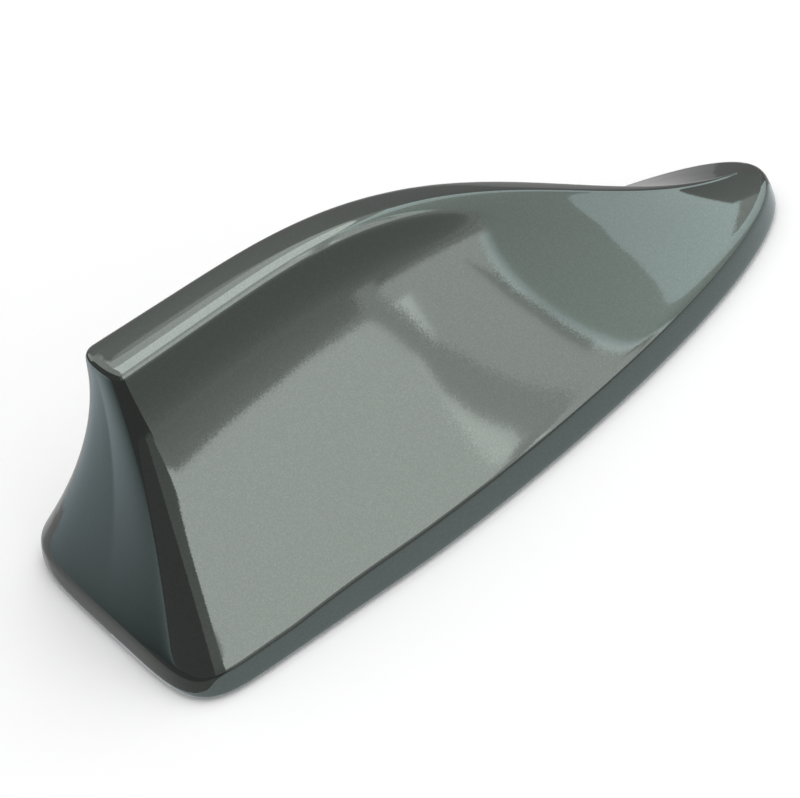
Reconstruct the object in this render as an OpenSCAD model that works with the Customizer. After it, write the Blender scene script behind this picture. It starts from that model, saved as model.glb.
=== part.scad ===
// Shark fin roof aerial of the stick-on kind, for a car.
// The nose points along +X, the roof is the plane z = 0 and the left side is +Y.
// Distances called "from the rear" start where the rear edge meets its two corners.

/* [Cover] */
// Overall length of the cover
cover_l = 167; // [155:1:180]
// Greatest width of the cover
cover_w = 66.8; // [63:0.5:72]
// Height of the crest above the cover's lower edge
crest_h = 61.7; // [54:0.2:66]
// How far the rear edge bows out behind its corners
rear_bow = 1.6; // [1:0.1:3]
// Squareness of the two rear corners
corner_n = 5.6; // [4:0.1:7]
// Distance from the rear over which the corners round off
corner_l = 24; // [20:1:30]
// Share of the length, from the nose, that reaches the full width
full_at = 0.69; // [0.6:0.01:0.8]
// Bluntness of the sides behind the nose
side_blunt = 1.6; // [1.3:0.01:1.8]
// Roundness of the nose
nose_round = 0.51; // [0.5:0.01:0.6]

/* [Rim] */
// Height of the upright rim along the sides
rim_h = 6.8; // [5.8:0.1:7.5]
// Height of the upright rim across the rear
rim_rear_h = 5.5; // [5.2:0.1:6.5]
// How far the rim leans in over its height
rim_lean = 0.65; // [0.2:0.05:1.2]
// Radius where the rim rolls over into the side
roll_r = 1.6; // [0.8:0.1:2.2]
// Radius of the cover's lower edge
edge_r = 1; // [0.6:0.1:1.2]

/* [Crest] */
// Distance from the rear to the upper rear corner
crest_rear = 15.2; // [12:0.2:20]
// Depth of the crest's rounded rear end
crest_end = 3.6; // [2:0.2:5]
// Distance from the nose back to the crest's front end
crest_in = 5.4; // [4:0.2:10]
// Width of the crest at its rear end
crest_w = 12.6; // [9:0.2:14]
// Share of the crest's width that is lost at the nose
crest_taper = 0.55; // [0.3:0.05:0.7]
// Radius between the crest and the sides
crest_r = 2.6; // [2:0.2:4]
// Rise of the crest's middle over its edges
crest_crown = 0.6; // [0.2:0.1:0.8]
// Distance from the rear where the crest starts to fall
fall_start = 44; // [36:1:50]
// Distance past the nose where the fall would level out
fall_past = 4.3; // [1:0.1:8]
// Height that the fall levels out at
fall_to = 6.8; // [6:0.2:10]
// How late the crest falls
fall_late = 1.31; // [1.15:0.01:1.4]
// Share of the side's height that rounds over at the nose
nose_dome = 0.75; // [0.4:0.05:0.9]

/* [Flare] */
// Hollowness of the sides
flare_side = 1.44; // [1.1:0.02:1.8]
// Hollowness of the rear face
flare_rear = 1.85; // [1.4:0.05:2.2]
// Hollowness at the nose, where less than 1 is full
flare_nose = 0.8; // [0.6:0.05:1]

/* [Walls] */
// Wall of the cover
wall = 2.4; // [2:0.1:2.8]
// Wall of the lip round the base plate
lip_t = 1.8; // [1.5:0.1:2]
// Width of the ledge that the seal ring lies under
ledge_w = 1.5; // [1.2:0.1:1.8]
// Height of the ledge above the cover's lower edge
ledge_h = 3.4; // [3.2:0.1:3.6]

/* [Base plate] */
// Thickness of the foam mounting tape
pad_t = 1; // [0.8:0.1:1.4]
// How far the tape stands below the cover's lower edge
pad_proud = 0.6; // [0.4:0.1:0.8]
// Thickness of the base plate
plate_t = 2.2; // [2:0.1:2.4]
// Gap round the base plate
plate_gap = 0.2; // [0.1:0.05:0.4]
// Thickness of the ribs on the base plate
rib_t = 1.4; // [1:0.1:2]
// Height of the ribs on the base plate
rib_h = 2.6; // [1.5:0.1:3]

/* [Lead hole] */
// Diameter of the lead that the grommet takes
lead_d = 4; // [3:0.1:5]
// Outer diameter of the grommet's flanges
grommet_d = 13; // [11.5:0.5:14]
// Diameter of the hole that the grommet sits in
grommet_hole = 9; // [8:0.5:10]
// Gap between the grommet and the board
lead_gap = 5.5; // [4:0.5:7]

/* [Board] */
// Length of the amplifier board
board_l = 50; // [46:1:52]
// Width of the amplifier board
board_w = 30; // [28:1:34]
// Thickness of the amplifier board
board_t = 1.2; // [1:0.1:1.6]
// Height of the posts under the board
board_post_h = 4; // [3:0.5:5]
// Length of the shield can
can_l = 22; // [20:1:24]
// Width of the shield can
can_w = 18; // [16:1:20]
// Height of the shield can
can_h = 5; // [4:0.5:6]
// Sheet of the shield can
can_t = 0.4; // [0.3:0.1:0.5]

/* [Aerial] */
// Thickness of the carrier's web
web_t = 2; // [1.6:0.1:2.2]
// Sheet of the top plate
sheet_t = 0.5; // [0.4:0.1:0.6]
// Gap between the crest's inside and the top plate
sheet_gap = 4; // [3.5:0.5:5]
// Depth of the top plate's side flaps
flap_h = 9; // [7:0.5:11]
// Outer diameter of the coil
coil_d = 9; // [8:0.5:10]
// Diameter of the coil's wire
wire_d = 0.9; // [0.7:0.1:1]
// Number of turns in the coil
turns = 8; // [6:1:9]
// Distance between the coil's turns
coil_pitch = 1.9; // [1.6:0.1:2.2]

/* [Screws] */
// Diameter of the cover screws
screw_d = 2.9; // [2.5:0.1:3]
// Length of the cover screws under the head
screw_l = 8; // [7:0.5:9]
// Diameter of the board screws
small_screw_d = 2; // [1.8:0.1:2.2]

/* [Hidden] */

// Steps round half of the cover: along the side, then round the corner to the middle of the rear
side_n = 36;
rear_n = 20;
half_n = side_n + rear_n;
ring_n = 2 * half_n;
// Steps up the side, outside and inside
up_n = 12;
up_in_n = 7;
// Steps round the lower edge, the rim's roll and the crest's edge
edge_turn = 45;
roll_n = 3;
crest_n = 6;
// How closely the steps along the side crowd towards the nose
crowd = 1.7;
circle_n = 40;
quarter = 90;

// Places along the length
nose_x = cover_l - rear_bow;
mid_x = cover_l / 2 - rear_bow;
crest_front = nose_x - crest_in;
fall_end = nose_x + fall_past;
function along(share) = share * cover_l;
board_mid = 0.509;
board_x = along(board_mid) - board_l / 2;
lead_x = board_x - lead_gap - grommet_d / 2;
can_in = 7;
can_x = board_x + board_l - can_in - can_l / 2;
coil_gap = 5;
coil_x = can_x - can_l / 2 - coil_gap;

// Heights
edge_z = pad_proud;
plate_z = pad_t;
floor_z = plate_z + plate_t;
seat_z = edge_z + ledge_h;
board_z = floor_z + board_post_h;
board_top = board_z + board_t;

// Running clearance of a screw in its hole
screw_gap = 0.05;

function warp(k, e) = pow(k, e) / (pow(k, e) + pow(1 - k, e));
function mix(a, b, t) = a + (b - a) * t;
function clamp(v) = max(0, min(1, v));

// Place of a step: 1 at the nose to 0 where the corner starts, and 0 to 1 from there to the rear
function fwd(i) = i <= side_n ? 1 - pow(i / side_n, crowd) : 0;
function aft(i) = i > side_n ? (i - side_n) / rear_n : 0;

// Half of the cover's plan outline, moved in by d
function side_y(x, d) =
    let (v = clamp((nose_x - d - x) / (nose_x * full_at)))
    (cover_w / 2 - d) * pow(1 - pow(1 - v, side_blunt), nose_round);
function plan(i, d) =
    let (x = mix(corner_l, nose_x - d, fwd(i)), t = quarter * warp(aft(i), corner_n / 2))
    i <= side_n ? [x, side_y(x, d)]
    : [corner_l - (corner_l + rear_bow - d) * pow(sin(t), 2 / corner_n),
        (cover_w / 2 - d) * pow(cos(t), 2 / corner_n)];

// Height of the crest over the cover's lower edge
function crest(x) =
    let (v = pow(clamp((x - fall_start) / (fall_end - fall_start)), fall_late))
    fall_to + (crest_h - fall_to) * (1 + cos(180 * v)) / 2;

// A skin is 0 outside and 1 inside, and between them within the wall
// How much thicker the crest is than the wall
crest_extra = 0.2;
// Width of the crest's inside, as a share of its outside
crest_inner = 0.5;
// Squareness of the crest's rear end
crest_round = 2.6;
// Share of the crest's width that its flat middle takes
crown_w = 0.4;
// How far the middle of the crest stays behind its front end
crown_back = 2;
// How near the nose its top rounds over
dome_late = 4;
// How fast the rear's rim and hollow give way to the side's
rim_blend = 6;
rear_blend = 1.2;
// Most of the side's height that the two rounded edges may take
roll_most = 0.3;
crest_most = 0.4;
// Share of the crest's flat at which its rounded edge ends
crest_meet = 0.6;
function skin_in(s) = mix(rim_lean, lip_t + ledge_w, s);
function skin_drop(s) = s * (wall + crest_extra);
function crest_start(s) = crest_rear + crest_end + s * wall;
function crest_plan(i, s) =
    let (t = quarter * warp(aft(i), crest_round / 2), narrow = mix(1, crest_inner, s))
    i <= side_n ? [mix(crest_start(s), crest_front - 2 * s * wall, fwd(i)),
        plan(i, 0)[1] * narrow * crest_w / cover_w * (1 - crest_taper * fwd(i))]
    : [crest_start(s) - crest_end * pow(sin(t), 2 / crest_round),
        crest_w / 2 * narrow * pow(cos(t), 2 / crest_round)];

function rim_top(i) =
    mix(rim_h, rim_rear_h, i <= side_n ? pow(clamp(1 - rim_blend * fwd(i)), 2) : 1);
function hollow(i) = i <= side_n ? mix(flare_side, flare_nose, pow(fwd(i), 3))
    : mix(flare_side, flare_rear, clamp(1 - rear_blend * (1 - aft(i))));

// Point on the side at step i, from its foot at k = 0 to the crest's edge at k = 1
function flank(i, k, s) =
    let (a = plan(i, skin_in(s)), b = crest_plan(i, s), g = 1 - pow(1 - k, hollow(i)),
        za = rim_top(i) - s * wall / 2, zb = crest(b[0]) - skin_drop(s))
    [mix(a[0], b[0], g), mix(a[1], b[1], g), mix(za, zb, k)];
// Where the side would reach the crest's height if it ran straight on from k
function knee(i, k, e = 0.001) =
    flank(i, k, 0) + (flank(i, k + e, 0) - flank(i, k, 0)) * (1 - k) / e;
function flank_len(i, s) = norm(flank(i, 1, s) - flank(i, 0, s));

// Point near the middle of the crest at step i
function crown(i, s) =
    let (b = crest_plan(i, s), c = i <= side_n ? b[0] - crown_back * fwd(i) : crest_start(s),
        x = mix(c, b[0], crown_w))
    [x, b[1] * crown_w, crest(x) - skin_drop(s) + crest_crown];

function bend(a, k, b, t) = (1 - t) * (1 - t) * a + 2 * t * (1 - t) * k + t * t * b;
function level(i, d, z) = let (p = plan(i, d)) [p[0], p[1], z];

// Share of the side that the crest's rounded edge takes at step i
function crest_share(i) =
    mix(min(crest_most, crest_r / flank_len(i, 0)), nose_dome, pow(fwd(i), dome_late));

// Outside of the cover at step i, from the lower edge to the crest
function outer_line(i) =
    let (ka = min(roll_most, roll_r / flank_len(i, 0)), kb = 1 - crest_share(i),
        rim_low = level(i, rim_lean * (1 - roll_r / rim_top(i)), rim_top(i) - roll_r),
        last = crown(i, 0), top = flank(i, 1, 0))
    concat(
        [for (a = [0 : edge_turn : quarter]) level(i, edge_r * (1 - sin(a)), edge_r * (1 - cos(a)))],
        [for (t = [0 : roll_n]) bend(rim_low, flank(i, 0, 0), flank(i, ka, 0), t / roll_n)],
        [for (t = [1 : up_n - 1]) flank(i, mix(ka, kb, t / up_n), 0)],
        [for (t = [0 : crest_n]) bend(flank(i, kb, 0), knee(i, kb), mix(top, last, crest_meet), t / crest_n)],
        [last]);

// Inside of the cover at step i, with the lip and the ledge at its foot
function inner_line(i) = concat(
    [level(i, lip_t, 0), level(i, lip_t, ledge_h), level(i, lip_t + ledge_w, ledge_h)],
    [for (t = [0 : up_in_n]) flank(i, t / up_in_n, 1)],
    [crown(i, 1)]);

// A solid within the wall, which trims what grows down from the wall
function trim_line(i) = concat(
    [level(i, skin_in(0.5), 0)], [for (t = [0 : up_in_n]) flank(i, t / up_in_n, 0.5)], [crown(i, 0.5)]);

// Rings of points from the lines of both halves, one ring for each place on the line
function place(p, side) = [p[0] - mid_x, side * p[1], p[2] + edge_z];
function rings(lines) = [for (r = [0 : len(lines[0]) - 1], j = [0 : ring_n - 1])
    j <= half_n ? place(lines[j][r], -1) : place(lines[ring_n - j][r], 1)];
function band(r0, r1) = [for (j = [0 : ring_n - 1]) let (k = (j + 1) % ring_n)
    each [[r0 * ring_n + j, r1 * ring_n + k, r1 * ring_n + j],
        [r0 * ring_n + j, r0 * ring_n + k, r1 * ring_n + k]]];
// Closes a ring across the middle, from each near step to its far one
function lid(r) = let (o = r * ring_n) concat(
    [[o, o + 1, o + ring_n - 1], [o + half_n - 1, o + half_n, o + half_n + 1]],
    [for (j = [1 : half_n - 2]) each [[o + j, o + ring_n - j - 1, o + ring_n - j],
        [o + j, o + j + 1, o + ring_n - j - 1]]]);
function flip(faces) = [for (f = faces) [f[0], f[2], f[1]]];

function outline(d) = [for (j = [0 : ring_n - 1])
    let (p = plan(j <= half_n ? j : ring_n - j, d))
    [p[0] - mid_x, (j <= half_n ? -1 : 1) * p[1]]];

// Fixings, as distances from the rear and from the middle
board_fix_in = 4;
board_fix = [for (x = [board_x + board_fix_in, board_x + board_l - board_fix_in], y = [-1, 1])
    [x, y * (board_w / 2 - board_fix_in)]];
foot_l = 9;
foot_w = 18;
foot_t = 2.2;
foot_gap = [5, 3.5];
foot_at = [lead_x - grommet_d / 2 - foot_gap[0] - foot_l / 2,
    board_x + board_l + foot_gap[1] + foot_l / 2];
carrier_fix = [for (x = foot_at, y = [-1, 1]) [x, y * foot_w / 3]];
foot_z = floor_z + rib_h;
boss_d = 7.5;
boss_gap = 0.5;
boss_clear = 0.75;
boss_x = [along(0.132), foot_at[1] + foot_l / 2 + boss_clear + boss_d / 2];
boss_y = [0.3 * cover_w, 0.172 * cover_w];
boss_at = [for (i = [0, 1], side = [1, -1]) [boss_x[i], side * boss_y[i]]];
post_d = 6;

// Heads of the screws, and how deep their cross slots go
head_d = 5.6;
head_h = 0.9;
small_head_d = 3.8;
small_head_h = 1.3;
slot_w = 0.6;
slot_share = 0.6;
// Clearance round a screw's shank and head where it passes freely, and past its tip
pass_gap = 0.15;
shank_gap = 0.2;
head_gap = 0.3;
tip_gap = 0.4;

// Line under the crest that the top plate follows, as distance from the rear and height
sheet_in = 10.8;
sheet_rear = crest_rear + sheet_in;
sheet_front = along(0.623);
sheet_n = 20;
web_back = 2;
web_rear = sheet_rear - web_back;
web_reach = 3.5;
web_heel = foot_at[0] - foot_l / 2 - web_reach;
web_lap = 0.5;
web_front = foot_at[1] + foot_l / 2 - web_lap;
web_step = 3;
web_foot_z = foot_z + foot_t;
// Arch in the web over the board
arch_over = 2.1;
arch_z = board_top + can_h + arch_over;
arch_in = 2;
arch_slope = 3;
arch_rear = foot_at[0] + foot_l / 2 + arch_in;
arch_front = foot_at[1] - foot_l / 2 - arch_in;
// Lightening holes in the web: share of the length, share of the height over the arch, diameter
web_holes = [[0.228, 0.36, 9], [0.228, 0.76, 8], [0.341, 0.32, 10], [0.335, 0.72, 9],
    [0.563, 0.4, 8], [0.635, 0.39, 6]];
function under(x) = edge_z + crest(x) - skin_drop(1) - sheet_gap;
function sheet_line(drop) = [for (i = [0 : sheet_n])
    let (x = mix(sheet_rear, sheet_front, i / sheet_n)) [x - mid_x, under(x) - drop]];
function reversed(v) = [for (i = [len(v) - 1 : -1 : 0]) v[i]];

// Coil on its former
flange_t = 1.2;
flange_over = 0.8;
shelf_t = 1.5;
core_d = coil_d - 2 * wire_d;
former_z = arch_z + shelf_t;
wire_gap = 0.12;
former_h = turns * coil_pitch + 2 * flange_t + wire_d + 2 * wire_gap;
coil_r = core_d / 2 + wire_d / 2 + wire_gap;
turn_n = 14;
wire_n = 8;

// Small parts on the board
pin_d = 0.9;
pin_in = 3;
pin_step = 1.5;
pin_below = 1;
pin_above = 3;
solder_h = 0.5;
pin_at = [for (y = [-pin_step, pin_step]) [board_x + pin_in, y]];
chip = [5, 4, 1.4];
leg = [0.4, 1, 0.6];
capacitor = [2, 1.2, 0.8];
can_hole_d = 1.6;
choke_d = 6;
choke_in = 9;
choke_at = [board_x + choke_in, board_w / 5];
choke_flange = 0.7;
choke_winding = 2.8;
choke_rows = 4;
choke_core = 0.75;
choke_bulge = 0.88;

module at(p, z) translate([p[0] - mid_x, p[1], z]) children();
module disc(d, h) cylinder(d = d, h = h, $fn = circle_n);
// A block by its size, centred along and across the cover on a point, standing on z
module block(p, z, size) translate([p[0] - mid_x - size[0] / 2, p[1] - size[1] / 2, z]) cube(size);
// An upright plate from a side view, as thick as t and centred on y
module upright(t, y = 0) translate([0, y + t / 2, 0]) rotate([90, 0, 0]) linear_extrude(t) children();
module cross_slot(d, depth) {
    for (a = [0, 90]) rotate(a) translate([-d * slot_share / 2, -slot_w / 2, 0])
        cube([d * slot_share, slot_w, depth]);
}

module cover_shell() {
    outside = [for (i = [0 : half_n]) outer_line(i)];
    inside = [for (i = [0 : half_n]) inner_line(i)];
    n_out = len(outside[0]);
    n_in = len(inside[0]);
    polyhedron(
        points = concat(rings(outside), rings(inside)),
        faces = concat(
            [for (r = [0 : n_out - 2]) each band(r, r + 1)], lid(n_out - 1),
            flip([for (r = [0 : n_in - 2]) each band(n_out + r, n_out + r + 1)]),
            flip(lid(n_out + n_in - 1)), band(n_out, 0)));
}

module wall_solid() {
    lines = [for (i = [0 : half_n]) trim_line(i)];
    n = len(lines[0]);
    polyhedron(points = rings(lines),
        faces = concat([for (r = [0 : n - 2]) each band(r, r + 1)], lid(n - 1), flip(lid(0))));
}

module cover() {
    color("#59605b")
    difference() {
        union() {
            cover_shell();
            intersection() {
                wall_solid();
                for (p = boss_at) at(p, floor_z) disc(boss_d, crest_h);
            }
        }
        for (p = boss_at) at(p, floor_z) disc(screw_d + 2 * screw_gap, screw_l + tip_gap);
    }
}

// Ribs on the base plate: how far in the outer one lies, and where the cross ribs stand
rib_in = 6;
cross_ribs = [0.084, 0.24, 0.335, 0.503, 0.67, 0.802, 0.874];
module base_plate() {
    color("#2b2d2e")
    difference() {
        union() {
            translate([0, 0, plate_z]) linear_extrude(plate_t) polygon(outline(lip_t + plate_gap));
            difference() {
                translate([0, 0, floor_z]) linear_extrude(rib_h) difference() {
                    polygon(outline(rib_in));
                    difference() {
                        polygon(outline(rib_in + rib_t));
                        for (share = cross_ribs) {
                            translate([along(share) - mid_x - rib_t / 2, -cover_w / 2])
                                square([rib_t, cover_w]);
                        }
                        for (y = [-1, 1]) {
                            translate([-mid_x, y * foot_w / 3 - rib_t / 2]) square([foot_at[1], rib_t]);
                        }
                    }
                }
                for (p = boss_at) at(p, floor_z) disc(boss_d + 2 * boss_gap, rib_h);
                at([lead_x, 0], floor_z) disc(grommet_d + 2 * boss_gap, rib_h);
            }
            for (p = board_fix) at(p, floor_z) disc(post_d, board_post_h);
            for (p = carrier_fix) at(p, floor_z) disc(post_d, rib_h);
        }
        for (p = boss_at) {
            at(p, plate_z) disc(head_d + 2 * head_gap, head_h);
            at(p, plate_z) disc(screw_d + 2 * shank_gap, plate_t);
        }
        for (p = board_fix) at(p, floor_z) disc(small_screw_d + 2 * screw_gap, board_post_h);
        for (p = carrier_fix) at(p, floor_z) disc(small_screw_d + 2 * screw_gap, rib_h);
        at([lead_x, 0], plate_z) disc(grommet_hole, plate_t);
    }
}

module seal_ring() {
    color("#1c1c1c")
    translate([0, 0, floor_z]) linear_extrude(seat_z - floor_z) difference() {
        polygon(outline(lip_t + plate_gap));
        polygon(outline(lip_t + ledge_w));
    }
}

// How far the tape lies in from the cover's edge, and clear of the grommet
pad_in = 4;
pad_gap = 0.75;
module adhesive_pad() {
    color("#3a3a3a")
    difference() {
        linear_extrude(pad_t) polygon(outline(pad_in));
        at([lead_x, 0], 0) disc(grommet_d + 2 * pad_gap, pad_t);
    }
}

// Grommet: its two flanges, the bevel on the upper one and the sleeve round the lead
low_t = 0.8;
high_t = 1;
high_bevel = 0.6;
sleeve_h = 4.8;
sleeve_t = 1;
neck_in = 0.4;
module cable_grommet() {
    sleeve_top = floor_z + sleeve_h;
    neck = grommet_hole / 2 - screw_gap / 2;
    color("#232323")
    at([lead_x, 0], 0) rotate_extrude($fn = circle_n) polygon([
        [lead_d / 2, plate_z - low_t], [grommet_d / 2, plate_z - low_t], [grommet_d / 2, plate_z],
        [neck, plate_z], [neck, floor_z], [grommet_d / 2, floor_z],
        [grommet_d / 2 - high_bevel, floor_z + high_t], [neck - neck_in, floor_z + high_t],
        [lead_d / 2 + sleeve_t, sleeve_top], [lead_d / 2, sleeve_top]]);
}

corner = 2;
module amplifier_board() {
    color("#2f5d3a")
    difference() {
        at([board_x, 0], board_z) linear_extrude(board_t) {
            translate([corner, -board_w / 2]) square([board_l - 2 * corner, board_w]);
            translate([0, -board_w / 2 + corner]) square([board_l, board_w - 2 * corner]);
            for (x = [corner, board_l - corner], y = [-1, 1]) {
                translate([x, y * (board_w / 2 - corner)]) circle(corner, $fn = circle_n);
            }
        }
        for (p = board_fix) at(p, board_z) disc(small_screw_d + 2 * pass_gap, board_t);
        for (p = pin_at) at(p, board_z) disc(pin_d + 2 * screw_gap, board_t);
    }
}

module shield_can() {
    color("#b9bcbd")
    difference() {
        block([can_x, 0], board_top, [can_l, can_w, can_h]);
        block([can_x, 0], board_top, [can_l - 2 * can_t, can_w - 2 * can_t, can_h - can_t]);
        for (x = [-1.5 : 1.5], y = [-1 : 1]) {
            at([can_x + x * can_l / 5, y * can_w / 4], board_top + can_h - can_t) disc(can_hole_d, can_t);
        }
    }
}

module amplifier_chip() {
    color("#1f1f22") {
        block([can_x, 0], board_top, chip);
        for (x = [-1.5 : 1.5], y = [-1, 1]) {
            block([can_x + x * chip[0] / 4, y * (chip[1] + leg[1]) / 2], board_top, leg);
        }
    }
}

module board_capacitors() {
    color("#a58a66")
    for (x = [-1, 0, 1], y = [-1, 1]) {
        block([can_x + x * can_l / 4, y * can_w / 3], board_top, capacitor);
    }
}

// Profile of the choke: a drum whose winding lies in rows between its flanges
module board_inductor() {
    r = choke_d / 2;
    core = choke_core * r;
    bulge = choke_bulge * r;
    row_h = choke_winding / choke_rows;
    top = 2 * choke_flange + choke_winding;
    winding = [for (i = [0 : choke_rows - 1]) each
        [[core, choke_flange + i * row_h], [bulge, choke_flange + (i + 0.3) * row_h],
            [bulge, choke_flange + (i + 0.7) * row_h]]];
    color("#3b2f2a")
    at(choke_at, board_top) rotate_extrude($fn = circle_n) polygon(concat(
        [[0, 0], [r, 0], [r, choke_flange]], winding,
        [[core, top - choke_flange], [r, top - choke_flange], [r, top], [0, top]]));
}

module lead_pins() {
    color("#c9a24a")
    for (p = pin_at) {
        at(p, board_z - pin_below) disc(pin_d, pin_below + board_t + pin_above);
        at(p, board_top) disc(2 * pin_d, solder_h);
    }
}

window_gap = 1;
module aerial_carrier() {
    front = [for (x = [sheet_front + web_step : web_step : web_front]) [x - mid_x, under(x) - sheet_t]];
    window = coil_d + 2 * flange_over + 2 * window_gap;
    color("#303336")
    difference() {
        union() {
            upright(web_t) difference() {
                polygon(concat(
                    [[web_heel - mid_x, web_foot_z], [web_rear - mid_x, under(sheet_rear) - sheet_t]],
                    sheet_line(sheet_t), front,
                    [[web_front - mid_x, web_foot_z], [arch_front - mid_x, web_foot_z],
                        [arch_front - arch_slope - mid_x, arch_z], [arch_rear + arch_slope - mid_x, arch_z],
                        [arch_rear - mid_x, web_foot_z]]));
                translate([coil_x - mid_x - window / 2, former_z]) square([window, former_h]);
                for (h = web_holes) {
                    translate([along(h[0]) - mid_x, mix(arch_z, under(along(h[0])), h[1])])
                        circle(d = h[2], $fn = circle_n);
                }
            }
            block([(arch_rear + arch_front) / 2, 0], arch_z,
                [arch_front - arch_rear - 2 * arch_slope, 3 * web_t, shelf_t]);
            for (x = foot_at) {
                block([x, 0], foot_z, [foot_l, foot_w, foot_t]);
                at([x, 0], web_foot_z) rotate([90, 0, 90]) translate([0, 0, -web_t / 2])
                    linear_extrude(web_t) polygon([[-foot_w / 6, 0], [foot_w / 6, 0],
                        [web_t / 2, foot_w / 3], [-web_t / 2, foot_w / 3]]);
            }
        }
        for (p = carrier_fix) at(p, foot_z) disc(small_screw_d + 2 * pass_gap, foot_t);
    }
}

// Slits in the top plate's flaps, and its clearance round the web
slits = 6;
slit_w = 0.8;
slit_top = 5;
sheet_fit = 0.1;
module top_plate() {
    inner = web_t + 2 * sheet_fit;
    color("#c3c5c4")
    difference() {
        upright(inner + 2 * sheet_t) polygon(concat(sheet_line(0), reversed(sheet_line(flap_h))));
        upright(inner) polygon(concat(sheet_line(sheet_t), reversed(sheet_line(flap_h))));
        for (i = [1 : slits]) let (x = mix(sheet_rear, sheet_front, i / (slits + 1))) {
            block([x, 0], under(x) - 2 * flap_h, [slit_w, inner + 3 * sheet_t, 2 * flap_h - slit_top]);
        }
    }
}

// Route of the coil's wire: up from the board, round the former and up beside the top plate
coil_low = former_z + flange_t + wire_d / 2 + wire_gap;
coil_high = coil_low + turns * coil_pitch;
coil_out = core_d / 2 + flange_over + 2 * wire_d;
flap_y = web_t / 2 + sheet_t + wire_d / 2 + 2 * wire_gap;
wire_route = concat(
    [[0, -coil_out, board_top], [0, -coil_out, coil_low - wire_d], [0, wire_d / 2 - coil_out, coil_low]],
    [for (i = [0 : turns * turn_n]) let (a = -90 + 360 * i / turn_n)
        [coil_r * cos(a), coil_r * sin(a), coil_low + coil_pitch * i / turn_n]],
    [[0, wire_d / 2 - coil_out, coil_high], [0, -coil_out, coil_high + wire_d],
        [0, -coil_out, former_z + former_h + wire_d],
        [0, -flap_y, under(coil_x) - flap_h - wire_d], [0, -flap_y, under(coil_x) - flap_h / 2]]);
function unit(v) = v / norm(v);
module wire(route, d, n) {
    last = len(route) - 1;
    points = [for (i = [0 : last])
        let (t = unit(route[min(last, i + 1)] - route[max(0, i - 1)]),
            side = unit(cross(t, abs(t[2]) > 0.9 ? [1, 0, 0] : [0, 0, 1])), other = cross(side, t))
        for (j = [0 : n - 1]) route[i] + d / 2 * (cos(360 * j / n) * side + sin(360 * j / n) * other)];
    polyhedron(points, concat(
        [[for (j = [0 : n - 1]) j], [for (j = [n - 1 : -1 : 0]) last * n + j]],
        [for (i = [0 : last - 1], j = [0 : n - 1]) let (k = (j + 1) % n)
            [i * n + j, (i + 1) * n + j, (i + 1) * n + k, i * n + k]]));
}
module loading_coil() {
    color("#b4693a")
    at([coil_x, 0], 0) wire(wire_route, wire_d, wire_n);
}

module coil_former() {
    color("#d8d3c4")
    at([coil_x, 0], former_z) difference() {
        union() {
            disc(core_d, former_h);
            for (z = [0, former_h - flange_t]) translate([0, 0, z]) disc(core_d + 2 * flange_over, flange_t);
        }
        disc(core_d / 2, former_h);
    }
}

module cover_screws() {
    color("#9fa3a5")
    for (p = boss_at) at(p, plate_z) difference() {
        union() {
            disc(head_d, head_h);
            disc(screw_d, head_h + screw_l);
        }
        cross_slot(head_d, head_h / 2);
    }
}

// A small screw whose head stands on z, with a shank that reaches down by l
module small_screw(p, z, l) at(p, z) difference() {
    union() {
        disc(small_head_d, small_head_h);
        translate([0, 0, -l]) disc(small_screw_d, l);
    }
    translate([0, 0, small_head_h / 2]) cross_slot(small_head_d, small_head_h / 2);
}
module board_screws() {
    color("#a8abad")
    for (p = board_fix) small_screw(p, board_top, board_t + board_post_h - tip_gap);
}
module carrier_screws() {
    color("#a8abad")
    for (p = carrier_fix) small_screw(p, web_foot_z, foot_t + rib_h - tip_gap);
}

cover();
base_plate();
seal_ring();
adhesive_pad();
cable_grommet();
amplifier_board();
shield_can();
amplifier_chip();
board_capacitors();
board_inductor();
lead_pins();
aerial_carrier();
top_plate();
loading_coil();
coil_former();
cover_screws();
board_screws();
carrier_screws();
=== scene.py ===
import math

import bmesh
import bpy
from mathutils import Matrix, Vector


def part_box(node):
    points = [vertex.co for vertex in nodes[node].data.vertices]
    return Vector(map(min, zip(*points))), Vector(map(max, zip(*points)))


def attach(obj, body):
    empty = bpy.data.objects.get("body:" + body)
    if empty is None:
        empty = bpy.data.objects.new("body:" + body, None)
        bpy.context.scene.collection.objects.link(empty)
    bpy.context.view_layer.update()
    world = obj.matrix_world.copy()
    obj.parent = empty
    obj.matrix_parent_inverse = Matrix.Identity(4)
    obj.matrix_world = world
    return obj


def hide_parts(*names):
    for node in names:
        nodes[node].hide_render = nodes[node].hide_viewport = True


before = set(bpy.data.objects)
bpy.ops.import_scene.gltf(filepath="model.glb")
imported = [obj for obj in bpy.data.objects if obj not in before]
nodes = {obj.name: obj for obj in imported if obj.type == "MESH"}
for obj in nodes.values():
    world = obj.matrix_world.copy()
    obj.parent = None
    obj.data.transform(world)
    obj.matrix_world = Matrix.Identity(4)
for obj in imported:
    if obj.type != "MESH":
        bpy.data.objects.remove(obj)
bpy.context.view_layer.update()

mm = 0.001
scene = bpy.context.scene
print("frame loaded with", len(nodes), "nodes")


def hexColour(text):
    # sRGB hex to the linear colour that the sockets take
    channels = [int(text[i:i + 2], 16) / 255 for i in (1, 3, 5)]
    return tuple(c / 12.92 if c <= 0.04045 else ((c + 0.055) / 1.055) ** 2.4 for c in channels) + (1.0,)


def perMetre(sizeInMm):
    # texture scale for a pattern whose cells are this many millimetres across
    return 1 / (sizeInMm * mm)


def addNode(tree, kind, settings=None, feeds=None):
    # adds a node; settings are socket values or node properties, feeds are links into its sockets
    node = tree.nodes.new(kind)
    for name, value in (settings or {}).items():
        if isinstance(name, int) or name in node.inputs:
            node.inputs[name].default_value = value
        else:
            setattr(node, name, value)
    for name, source in (feeds or {}).items():
        tree.links.new(source, node.inputs[name])
    return node


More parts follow.
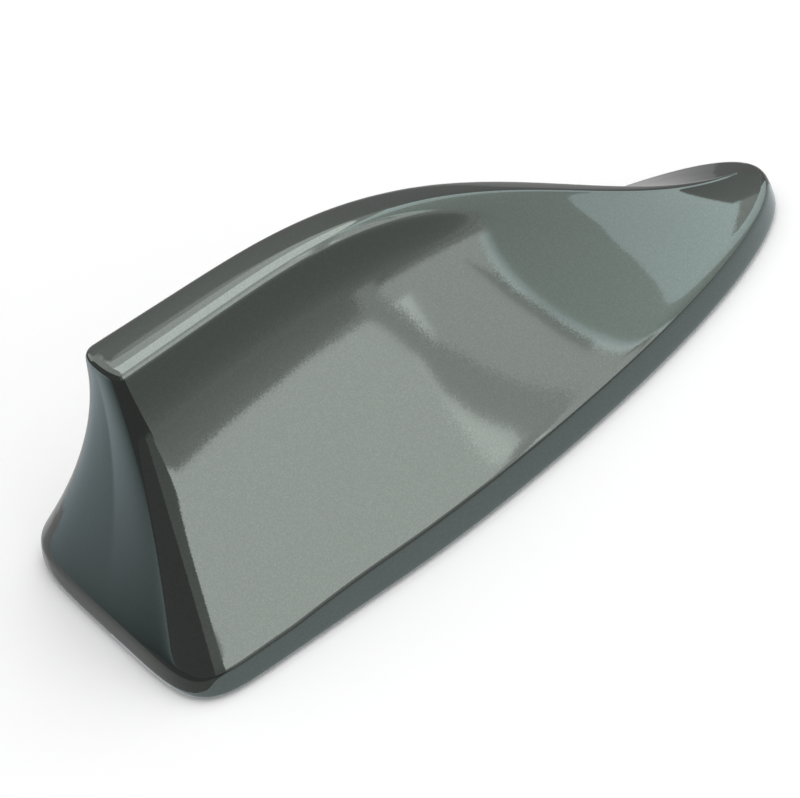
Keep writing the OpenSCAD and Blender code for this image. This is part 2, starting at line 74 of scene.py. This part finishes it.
def startMaterial(name, settings):
    # a material with its Principled shader set, and the Object coordinates ready to use
    material = bpy.data.materials.new(name)
    material.use_nodes = True
    tree = material.node_tree
    tree.nodes.clear()
    shader = addNode(tree, "ShaderNodeBsdfPrincipled", settings)
    addNode(tree, "ShaderNodeOutputMaterial", feeds={"Surface": shader.outputs["BSDF"]})
    place = addNode(tree, "ShaderNodeTexCoord").outputs["Object"]
    return material, tree, shader, place


def mixColours(tree, share, first, second):
    # first and second are hex colours, share is a socket
    mix = addNode(tree, "ShaderNodeMix", {"data_type": "RGBA"})
    mix.inputs[6].default_value = hexColour(first)
    mix.inputs[7].default_value = hexColour(second)
    tree.links.new(share, mix.inputs[0])
    return mix.outputs[2]


def heightToNormal(tree, height, depthInMm):
    return addNode(tree, "ShaderNodeBump", {"Distance": depthInMm * mm, "Strength": 1.0},
                   {"Height": height}).outputs["Normal"]


paint = {
    "dark": "#5C635E",      # grey-green pearl, the colour of the flakes that stay dark
    "light": "#656C67",     # painted glint: flakes drawn lighter at random, as if they faced the light
    "flakeMm": 0.2,         # real flake is under 0.1 mm, drawn coarser so that it shows
    "flakeTilt": 0.010,     # how far a flake leans out of the surface
    "flakeDark": 0.35,      # share of the flakes that get no painted glint
    "peelMm": 2.4,          # waves that spraying leaves in the clear coat
    "peelDepthMm": 0.003,
    "baseRoughness": 0.065,
    "coatRoughness": 0.045,
}


def makePaintedAbs():
    # metallic lacquer on ABS: grey-green pearl with fine flake under a smooth clear coat, some flakes with
    # a painted glint in their colour
    material, tree, shader, place = startMaterial("metallic lacquer on ABS", {
        "Metallic": 1.0, "Roughness": paint["baseRoughness"],
        "Coat Weight": 1.0, "Coat Roughness": paint["coatRoughness"], "Coat IOR": 1.5})
    flake = addNode(tree, "ShaderNodeTexVoronoi", {"Scale": perMetre(paint["flakeMm"]), "Randomness": 1.0},
                    {"Vector": place})
    split = addNode(tree, "ShaderNodeSeparateColor", feeds={"Color": flake.outputs["Color"]})
    # painted glint: a random share of the flakes is coloured lighter, as if it faced the light
    bright = addNode(tree, "ShaderNodeMapRange", {"From Min": paint["flakeDark"], "From Max": 1.0},
                     {"Value": split.outputs["Red"]})
    tree.links.new(mixColours(tree, bright.outputs["Result"], paint["dark"], paint["light"]),
                   shader.inputs["Base Color"])
    # each flake leans its own way, so that single ones catch the light
    lean = addNode(tree, "ShaderNodeVectorMath", {"operation": "SUBTRACT", 1: (0.5, 0.5, 0.5)},
                   {0: flake.outputs["Color"]})
    surface = addNode(tree, "ShaderNodeNewGeometry")
    tilted = addNode(tree, "ShaderNodeVectorMath",
                     {"operation": "MULTIPLY_ADD", 1: (paint["flakeTilt"],) * 3},
                     {0: lean.outputs["Vector"], 2: surface.outputs["Normal"]})
    unit = addNode(tree, "ShaderNodeVectorMath", {"operation": "NORMALIZE"}, {0: tilted.outputs["Vector"]})
    tree.links.new(unit.outputs["Vector"], shader.inputs["Normal"])
    peel = addNode(tree, "ShaderNodeTexNoise", {"Scale": perMetre(paint["peelMm"]), "Detail": 1.0},
                   {"Vector": place})
    tree.links.new(heightToNormal(tree, peel.outputs["Fac"], paint["peelDepthMm"]),
                   shader.inputs["Coat Normal"])
    return material


plain = {
    "cloudMm": 9,           # size of the faint blotches in moulded plastic and rubber
    "metalDepthMm": 0.01,   # depth of the grain in plated and rolled metal
}


def makeGrained(name, dark, light, roughness, grainMm, depthMm, extra=None):
    # moulded plastic or rubber: two close shades and the fine grain of the tool in the surface
    settings = {"Roughness": roughness, "IOR": 1.5}
    settings.update(extra or {})
    material, tree, shader, place = startMaterial(name, settings)
    cloud = addNode(tree, "ShaderNodeTexNoise", {"Scale": perMetre(plain["cloudMm"]), "Detail": 3.0},
                    {"Vector": place})
    tree.links.new(mixColours(tree, cloud.outputs["Fac"], dark, light), shader.inputs["Base Color"])
    grain = addNode(tree, "ShaderNodeTexNoise", {"Scale": perMetre(grainMm), "Detail": 4.0},
                    {"Vector": place})
    tree.links.new(heightToNormal(tree, grain.outputs["Fac"], depthMm), shader.inputs["Normal"])
    return material


def makeMetal(name, dark, light, roughness, along, grainMm, extra=None):
    # plated or rolled metal: the grain is stretched along the way that it was rolled
    settings = {"Metallic": 1.0, "Roughness": roughness}
    settings.update(extra or {})
    material, tree, shader, place = startMaterial(name, settings)
    stretched = addNode(tree, "ShaderNodeMapping", {"Scale": along}, {"Vector": place})
    grain = addNode(tree, "ShaderNodeTexNoise", {"Scale": perMetre(grainMm), "Detail": 4.0},
                    {"Vector": stretched.outputs["Vector"]})
    tree.links.new(mixColours(tree, grain.outputs["Fac"], dark, light), shader.inputs["Base Color"])
    tree.links.new(heightToNormal(tree, grain.outputs["Fac"], plain["metalDepthMm"]),
                   shader.inputs["Normal"])
    return material


foam = {
    "cellMm": 0.6,
    "cellDepthMm": 0.06,
    # skin is the painted shade at the bottom of each cell's hollow, cell the lighter raised rims between
    # them
    "skin": "#1E1F20",
    "cell": "#3A3C3D",
}


def makeFoamTape():
    # closed-cell acrylic foam tape: matt charcoal with round cells open at its cut edge, each cell's
    # hollow darkened as painted shade
    material, tree, shader, place = startMaterial("acrylic foam tape", {"Roughness": 0.82, "IOR": 1.47})
    cells = addNode(tree, "ShaderNodeTexVoronoi", {"Scale": perMetre(foam["cellMm"])}, {"Vector": place})
    # painted shade: darker towards the bottom of each cell's hollow
    tree.links.new(mixColours(tree, cells.outputs["Distance"], foam["skin"], foam["cell"]),
                   shader.inputs["Base Color"])
    tree.links.new(heightToNormal(tree, cells.outputs["Distance"], foam["cellDepthMm"]),
                   shader.inputs["Normal"])
    return material


laminate = {
    "mask": "#1F4A2C",
    "track": "#3C7A4A",
    "trackMm": 0.18,        # half the width of a track
    "runMm": 7.0,           # from one crossing to the next
    "pitchMm": 2.2,         # from one row of tracks to the next
    "copperMm": 0.035,      # height of the copper under the mask
    "patchMm": 7,           # size of the areas with and without tracks
    "bare": 0.47,           # below this the area has no tracks
}


def makeBoardLaminate():
    # glass-epoxy board under green solder mask: the copper tracks show as paler raised lines
    material, tree, shader, place = startMaterial("FR4 with green solder mask",
                                                  {"Roughness": 0.32, "IOR": 1.52, "Coat Weight": 0.3})
    tracks = addNode(tree, "ShaderNodeTexBrick",
                     {"Scale": perMetre(1), "Mortar Size": laminate["trackMm"], "Mortar Smooth": 0.1,
                      "Brick Width": laminate["runMm"], "Row Height": laminate["pitchMm"],
                      "Color1": (0, 0, 0, 1), "Color2": (0, 0, 0, 1), "Mortar": (1, 1, 1, 1)},
                     {"Vector": place})
    patches = addNode(tree, "ShaderNodeTexNoise", {"Scale": perMetre(laminate["patchMm"]), "Detail": 0.0},
                      {"Vector": place})
    shown = addNode(tree, "ShaderNodeMath", {"operation": "GREATER_THAN", 1: laminate["bare"]},
                    {0: patches.outputs["Fac"]})
    line = addNode(tree, "ShaderNodeMath", {"operation": "MULTIPLY"},
                   {0: tracks.outputs["Color"], 1: shown.outputs["Value"]})
    tree.links.new(mixColours(tree, line.outputs["Value"], laminate["mask"], laminate["track"]),
                   shader.inputs["Base Color"])
    tree.links.new(heightToNormal(tree, line.outputs["Value"], laminate["copperMm"]),
                   shader.inputs["Normal"])
    return material


capacitor = {
    "ceramic": "#9A7B57",
    "tin": "#C9CBCC",
    "lengthMm": 2,          # of one chip
    "bodyMm": 0.62,         # half the length of the bare ceramic between the tinned ends
    "ceramicRoughness": 0.55,
    "tinRoughness": 0.3,
}


def makeCapacitor(node):
    # fired ceramic chips with tinned ends: the ends are found from the spacing of the three rows
    lo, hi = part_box(node)
    middle, row = (lo.x + hi.x) / 2, (hi.x - lo.x - capacitor["lengthMm"] * mm) / 2
    material, tree, shader, place = startMaterial("fired ceramic with tinned ends", {"IOR": 1.55})
    axes = addNode(tree, "ShaderNodeSeparateXYZ", feeds={"Vector": place})
    along = addNode(tree, "ShaderNodeMath", {"operation": "SUBTRACT", 1: middle}, {0: axes.outputs["X"]})
    away = addNode(tree, "ShaderNodeMath", {"operation": "PINGPONG", 1: row / 2},
                   {0: along.outputs["Value"]})
    end = addNode(tree, "ShaderNodeMath", {"operation": "GREATER_THAN", 1: capacitor["bodyMm"] * mm},
                  {0: away.outputs["Value"]})
    tree.links.new(mixColours(tree, end.outputs["Value"], capacitor["ceramic"], capacitor["tin"]),
                   shader.inputs["Base Color"])
    tree.links.new(end.outputs["Value"], shader.inputs["Metallic"])
    rough = addNode(tree, "ShaderNodeMapRange",
                    {"To Min": capacitor["ceramicRoughness"], "To Max": capacitor["tinRoughness"]},
                    {"Value": end.outputs["Value"]})
    tree.links.new(rough.outputs["Result"], shader.inputs["Roughness"])
    return material


choke = {
    "ferrite": "#2A2827",
    "wire": "#A85A2C",
    "flangeMm": 0.75,       # just over the real 0.7, so that the flanges' inner faces stay ferrite
    "turnMm": 1.571,        # between turns; real wire is about 0.25, drawn coarser
    "turnDepthMm": 0.05,
}


def makeChoke(node):
    # ferrite drum with enamelled copper wound between its flanges
    lo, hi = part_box(node)
    flange = choke["flangeMm"] * mm
    material, tree, shader, place = startMaterial("ferrite with enamelled copper", {"Roughness": 0.45})
    axes = addNode(tree, "ShaderNodeSeparateXYZ", feeds={"Vector": place})
    above = addNode(tree, "ShaderNodeMath", {"operation": "GREATER_THAN", 1: lo.z + flange},
                    {0: axes.outputs["Z"]})
    below = addNode(tree, "ShaderNodeMath", {"operation": "LESS_THAN", 1: hi.z - flange},
                    {0: axes.outputs["Z"]})
    wound = addNode(tree, "ShaderNodeMath", {"operation": "MULTIPLY"},
                    {0: above.outputs["Value"], 1: below.outputs["Value"]})
    tree.links.new(mixColours(tree, wound.outputs["Value"], choke["ferrite"], choke["wire"]),
                   shader.inputs["Base Color"])
    tree.links.new(wound.outputs["Value"], shader.inputs["Metallic"])
    # the wave texture runs 20 radians to a unit at scale 1
    turns = addNode(tree, "ShaderNodeTexWave",
                    {"bands_direction": "Z", "Scale": 2 * math.pi * perMetre(choke["turnMm"]) / 20},
                    {"Vector": place})
    tree.links.new(heightToNormal(tree, turns.outputs["Fac"], choke["turnDepthMm"]),
                   shader.inputs["Normal"])
    return material


materials = {
    "cover": makePaintedAbs(),
    # spark-eroded tool: an even matt grain on black ABS
    "base_plate": makeGrained("moulded black ABS", "#1A1B1C", "#242627", 0.5, 0.45, 0.03),
    # extruded EPDM cord: dull black with a faint bloom
    "seal_ring": makeGrained("extruded EPDM rubber", "#141414", "#1E1E1E", 0.7, 0.3, 0.02),
    "adhesive_pad": makeFoamTape(),
    # pressed rubber: a little greyer than the seal from its mould release
    "cable_grommet": makeGrained("moulded EPDM rubber", "#181818", "#272727", 0.62, 0.35, 0.02),
    "amplifier_board": makeBoardLaminate(),
    # tin on rolled steel: bright and slightly streaked
    "shield_can": makeMetal("tinned sheet steel", "#AEB1B3", "#D2D4D6", 0.27, (0.15, 1, 1), 0.4),
    # transfer-moulded resin: fine matt black
    "amplifier_chip": makeGrained("moulded epoxy resin", "#151517", "#1F1F22", 0.48, 0.12, 0.01),
    "board_capacitors": makeCapacitor("board_capacitors"),
    "board_inductor": makeChoke("board_inductor"),
    # brass pins under thin tin: pale yellow metal, uneven where the tin is thicker
    "lead_pins": makeMetal("tinned brass", "#B7A678", "#D8CCA4", 0.3, (1, 1, 0.2), 0.3),
    # the base plate's kind of grain, a little coarser, on dark grey ABS
    "aerial_carrier": makeGrained("moulded grey ABS", "#26282A", "#323538", 0.45, 0.5, 0.03),
    # tinned strip, stamped and folded: warm grey with the rolling lines along its length
    "top_plate": makeMetal("stamped tinned steel", "#A9A79F", "#C8C6BD", 0.24, (0.1, 1, 1), 0.35),
    # enamelled copper wire: red-brown metal under clear enamel
    "loading_coil": makeMetal("enamelled copper", "#99552B", "#BF7340", 0.25, (1, 1, 1), 0.6,
                              {"Coat Weight": 0.8, "Coat Roughness": 0.08}),
    # natural nylon: milky, light passes a little way into it
    "coil_former": makeGrained("natural nylon", "#CFC9B6", "#DFDACB", 0.42, 0.6, 0.02,
                               {"Subsurface Weight": 0.25, "Subsurface Radius": (0.002, 0.0018, 0.0014)}),
    # zinc plate with a clear passivate: cool grey metal, slightly blotched
    "cover_screws": makeMetal("zinc-plated steel", "#9DA2A6", "#C2C7CC", 0.3, (1, 1, 1), 1.2),
}
for name in ("board_screws", "carrier_screws"):
    materials[name] = materials["cover_screws"]
for name, node in nodes.items():
    node.data.materials.clear()
    node.data.materials.append(materials[name])
print("materials made for", len(materials), "nodes")


# the cover's own mesh, made smooth
skin = {
    "mergeMm": 0.002,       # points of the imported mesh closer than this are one
    "levels": 2,            # subdivision, so that reflections run without facets
    "sharpAngle": 50,       # degrees, above which an edge stays crisp
    "joinAngle": 30,        # degrees, up to which two triangles are joined to one face
    "joinSkew": 120,        # degrees by which such a face may be out of square
}


def makeCoverSkin():
    mesh = nodes["cover"].data.copy()
    piece = bpy.data.objects.new("coverSkin", mesh)
    scene.collection.objects.link(piece)
    shape = bmesh.new()
    shape.from_mesh(mesh)
    bmesh.ops.remove_doubles(shape, verts=shape.verts, dist=skin["mergeMm"] * mm)
    bmesh.ops.join_triangles(shape, faces=shape.faces,
                             angle_face_threshold=math.radians(skin["joinAngle"]),
                             angle_shape_threshold=math.radians(skin["joinSkew"]))
    crease = shape.edges.layers.float.get("crease_edge") or shape.edges.layers.float.new("crease_edge")
    for edge in shape.edges:
        if len(edge.link_faces) == 2 and edge.calc_face_angle() > math.radians(skin["sharpAngle"]):
            edge[crease] = 1.0
    for face in shape.faces:
        face.smooth = True
    shape.to_mesh(mesh)
    shape.free()
    smoother = piece.modifiers.new("smoother", "SUBSURF")
    smoother.levels = smoother.render_levels = skin["levels"]
    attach(piece, "root")
    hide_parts("cover")
    return piece


coverSkin = makeCoverSkin()
print("cover skin made from", len(coverSkin.data.polygons), "faces")


floorSet = {
    "halfWidth": 6.0,       # metres
    "colour": "#F6F6F6",
    "roughness": 0.9,
    "specular": 0.1,
}


def makeFloor():
    mesh = bpy.data.meshes.new("floor")
    shape = bmesh.new()
    bmesh.ops.create_grid(shape, x_segments=1, y_segments=1, size=floorSet["halfWidth"])
    shape.to_mesh(mesh)
    shape.free()
    piece = bpy.data.objects.new("floor", mesh)
    scene.collection.objects.link(piece)
    material = startMaterial("matt white paper", {
        "Base Color": hexColour(floorSet["colour"]), "Roughness": floorSet["roughness"],
        "Specular IOR Level": floorSet["specular"]})[0]
    mesh.materials.append(material)


lamps = {
    # upright soft boxes: azimuth, distance, foot, width, height, level that each adds to the white behind
    "sideBox": (-82.5, 1.6, 0.17, 1.36, 0.70, 0.86),
    "stripBox": (-54.5, 1.6, 0.05, 0.46, 0.90, 0.50),
}
overhead = {
    # a soft box that faces down, and its bright middle: centre, widths along X and Y, level as above
    "topBox": ((0.7, -0.65, 1.6), (1.6, 3.9), 0.55),
    "topCore": ((0.7, -0.50, 1.62), (1.6, 2.2), 1.1),
}
cards = {
    # cards that are seen only in the gloss: azimuth, distance, colour, level, level at the top, corners
    "noseCard": (-15.0, 1.5, "#F0FBFF", 1.38, 2.05, [
        (-0.95, 0.08), (1.25, 0.08), (1.25, 1.35), (-0.95, 1.35)]),
    "rearCard": (190.0, 0.60, "#FFFFFF", 0.20, 0.20, [
        (-1.05, 0), (0.75, 0), (0.75, 0.60), (-1.05, 0.60)]),
    "cornerCard": (-114.0, 0.90, "#FFFFFF", 0.34, 0.48, [
        (-0.17, 0), (0.16, 0), (0.16, 0.60), (-0.17, 0.60)]),
    "farCard": (60.0, 1.20, "#FFFFFF", 0.28, 0.62, [
        (-1.2, 0), (1.2, 0), (1.2, 1.22), (-1.2, 1.22)]),
    "sideSkirt": (-82.5, 1.50, "#FFFFFF", 0.60, 0.80, [
        (-1.0, 0), (0.62, 0), (0.46, 0.115), (0.28, 0.15), (0.24, 0.17), (-1.0, 0.17)]),
    "gapCard": (-60.0, 1.50, "#FFFFFF", 1.05, 1.25, [
        (-0.13, 0.15), (-0.14, 0), (-0.07, 0), (-0.07, 0.10), (-0.03, 0.20), (0.0, 0.32), (0.08, 0.48),
        (0.14, 0.59), (0.18, 0.65), (0.30, 0.95), (0.12, 0.95), (0.02, 0.60), (-0.03, 0.53), (-0.06, 0.45),
        (-0.06, 0.36), (-0.10, 0.22)]),
    "streakCard": (-51.0, 1.45, "#FFFFFF", 0.95, 0.95, [
        (0.0, 0.13), (0.04, 0.27), (0.07, 0.45), (0.065, 0.62), (0.105, 0.62), (0.115, 0.45),
        (0.08, 0.27)]),
    "noseFlag": (-30.0, 1.45, "#F6FEFC", 0.86, 1.25, [
        (-0.40, 0), (0.42, 0), (0.28, 0.25), (0.16, 0.44), (0.08, 0.65), (-0.05, 0.81), (-0.19, 0.89),
        (-0.40, 0.90)]),
}
mats = {
    # the same lying on the floor: x from and to, y from and to, height, colour, level at low y and high y
    "sideMat": (-0.5, 0.6, -0.9, -0.07, 0.0003, "#FFFFFF", 0.62, 0.36),
    "farSideMat": (-2.0, 1.2, -4.0, -0.9, 0.0003, "#FFFFFF", 0.62, 0.62),
    "rimMat": (-0.084, 0.6, -0.07, 0.0, 0.0003, "#F2FAFF", 0.66, 0.76),
    "noseSideMat": (0.6, 3.0, -0.9, -0.07, 0.0003, "#FFFFFF", 0.85, 0.60),
    "farMat": (-0.084, 3.0, 0.0, 4.0, 0.0003, "#FFFFFF", 0.41, 0.41),
    "rearMat": (-3.0, -0.084, -4.0, 4.0, 0.0004, "#FFFFFF", 0.16, 0.16),
    "nearRearMat": (-0.35, -0.084, 0.0, 0.14, 0.0005, "#E8F8FF", 0.13, 0.86),
    "rearRimMat": (-0.094, -0.084, -0.06, 0.06, 0.0006, "#FFFFFF", 0.28, 0.28),
}
ambient = 0.71              # even light from all round


def makeLamp(name, place, turn, width, height, level):
    data = bpy.data.lights.new(name, "AREA")
    data.shape = "RECTANGLE"
    data.size, data.size_y = width, height
    data.energy = level * math.pi * width * height      # watts that give the face this level
    lamp = bpy.data.objects.new(name, data)
    lamp.location = place
    lamp.rotation_euler = turn
    scene.collection.objects.link(lamp)


def standLamp(name, azimuth, distance, foot, width, height, level):
    # upright, facing the aerial
    a = math.radians(azimuth)
    makeLamp(name, (distance * math.cos(a), distance * math.sin(a), foot + height / 2),
             (math.pi / 2, 0, a + math.pi / 2), width, height, level)


def makeCard(name, corners, colour, level, axis, farLevel):
    # the level runs evenly along the axis to farLevel
    mesh = bpy.data.meshes.new(name)
    shape = bmesh.new()
    shape.faces.new([shape.verts.new(corner) for corner in corners])
    shape.to_mesh(mesh)
    shape.free()
    piece = bpy.data.objects.new(name, mesh)
    scene.collection.objects.link(piece)
    piece.visible_camera = piece.visible_diffuse = piece.visible_shadow = False
    piece.visible_transmission = False
    material = bpy.data.materials.new(name)
    material.use_nodes = True
    tree = material.node_tree
    tree.nodes.clear()
    place = addNode(tree, "ShaderNodeTexCoord").outputs["Object"]
    axes = addNode(tree, "ShaderNodeSeparateXYZ", feeds={"Vector": place})
    ends = [corner["XYZ".index(axis)] for corner in corners]
    strength = addNode(tree, "ShaderNodeMapRange",
                       {"From Min": min(ends), "From Max": max(ends), "To Min": level, "To Max": farLevel},
                       {"Value": axes.outputs[axis]})
    glow = addNode(tree, "ShaderNodeEmission", {"Color": hexColour(colour)},
                   {"Strength": strength.outputs["Result"]})
    addNode(tree, "ShaderNodeOutputMaterial", feeds={"Surface": glow.outputs["Emission"]})
    mesh.materials.append(material)


def standCard(name, azimuth, distance, colour, level, topLevel, corners):
    # corners are metres along the card and up
    a = math.radians(azimuth)
    out, side = Vector((math.cos(a), math.sin(a), 0)), Vector((-math.sin(a), math.cos(a), 0))
    makeCard(name, [out * distance + side * along + Vector((0, 0, up)) for along, up in corners],
             colour, level, "Z", topLevel)


def layMat(name, lowX, highX, lowY, highY, z, colour, level, farLevel):
    makeCard(name, [(lowX, lowY, z), (highX, lowY, z), (highX, highY, z), (lowX, highY, z)],
             colour, level, "Y", farLevel)


def makeWorld():
    # even light of the given level, and plain white wherever the world itself is seen
    world = bpy.data.worlds.new("studio")
    scene.world = world
    world.use_nodes = True
    tree = world.node_tree
    tree.nodes.clear()
    path = addNode(tree, "ShaderNodeLightPath")
    seen = addNode(tree, "ShaderNodeMath", {"operation": "MAXIMUM"},
                   {0: path.outputs["Is Camera Ray"], 1: path.outputs["Is Glossy Ray"]})
    seen = addNode(tree, "ShaderNodeMath", {"operation": "MAXIMUM"},
                   {0: seen.outputs["Value"], 1: path.outputs["Is Transmission Ray"]})
    level = addNode(tree, "ShaderNodeMapRange", {"To Min": ambient, "To Max": 1.0},
                    {"Value": seen.outputs["Value"]})
    light = addNode(tree, "ShaderNodeBackground", {"Color": hexColour("#FFFFFF")},
                    {"Strength": level.outputs["Result"]})
    addNode(tree, "ShaderNodeOutputWorld", feeds={"Surface": light.outputs["Background"]})


cameraSet = {
    "azimuth": -22.53,      # degrees, 0 looks along +Y
    "elevation": 41.88,
    "roll": -18.48,
    "distance": 1.20334,    # metres from the aim
    "aim": (0.0007, 0.0, 0.0006),
    "slide": (-0.00877, 0.00427),   # to the right and up before the roll
    "sensor": 36.0,         # millimetres, as the lens
    "lens": 270.0,
    "clip": (0.05, 50.0),
}


def makeCamera():
    a, e, r = (math.radians(cameraSet[k]) for k in ("azimuth", "elevation", "roll"))
    back = Vector((math.sin(a) * math.cos(e), -math.cos(a) * math.cos(e), math.sin(e)))
    right = Vector((math.cos(a), math.sin(a), 0))
    up = back.cross(right)
    place = (Vector(cameraSet["aim"]) + back * cameraSet["distance"]
             + right * cameraSet["slide"][0] + up * cameraSet["slide"][1])
    turned = right * math.cos(r) + up * math.sin(r), up * math.cos(r) - right * math.sin(r)
    data = bpy.data.cameras.new("camera")
    data.sensor_width, data.lens = cameraSet["sensor"], cameraSet["lens"]
    data.clip_start, data.clip_end = cameraSet["clip"]
    camera = bpy.data.objects.new("camera", data)
    camera.matrix_world = Matrix((turned[0], turned[1], back)).transposed().to_4x4()
    camera.location = place
    scene.collection.objects.link(camera)
    scene.camera = camera


makeFloor()
makeWorld()
for name, values in lamps.items():
    standLamp(name, *values)
for name, (place, size, level) in overhead.items():
    makeLamp(name, place, (0, 0, 0), *size, level)
for name, values in cards.items():
    standCard(name, *values)
for name, values in mats.items():
    layMat(name, *values)
makeCamera()
scene.view_settings.view_transform = "Standard"
print("floor, light and camera made")
